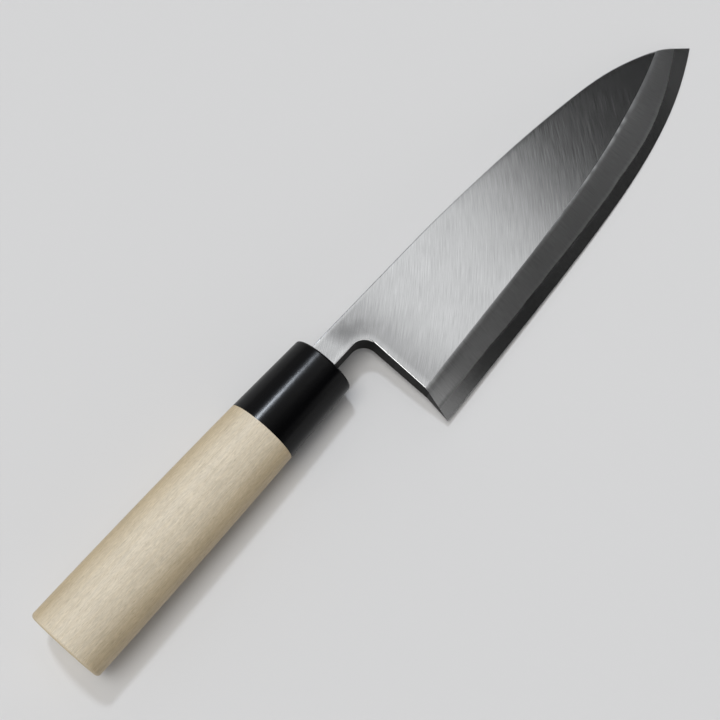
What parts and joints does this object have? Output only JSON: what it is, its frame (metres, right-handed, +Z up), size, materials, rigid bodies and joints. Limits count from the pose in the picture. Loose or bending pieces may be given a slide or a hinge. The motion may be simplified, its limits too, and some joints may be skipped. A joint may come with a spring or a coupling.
{
  "type": "deba knife",
  "caption": "Heavy single-bevel fish knife: thick triangular blade with hollow back, stick tang in a plain oval wooden handle with a black ferrule. Lies ground side up.",
  "frame": {"origin": "on the table below the middle of the knife's bounding box, as the knife lies", "axes": "+X towards the point of the blade, +Y towards the spine, +Z up out of the ground side"},
  "size_m": [0.3151, 0.0577, 0.0242],
  "materials": {
    "soft_iron": "satin, ground with fine scratches across the blade",
    "hard_steel": "darker satin, honed along the edge",
    "ferrule_black": "polished black",
    "magnolia": "sanded bare magnolia wood with fine straight grain"
  },
  "bodies": {
    "root": {"blade_body": "soft_iron", "edge_steel": "hard_steel", "ferrule": "ferrule_black", "handle": "magnolia"}
  },
  "joints": []
}
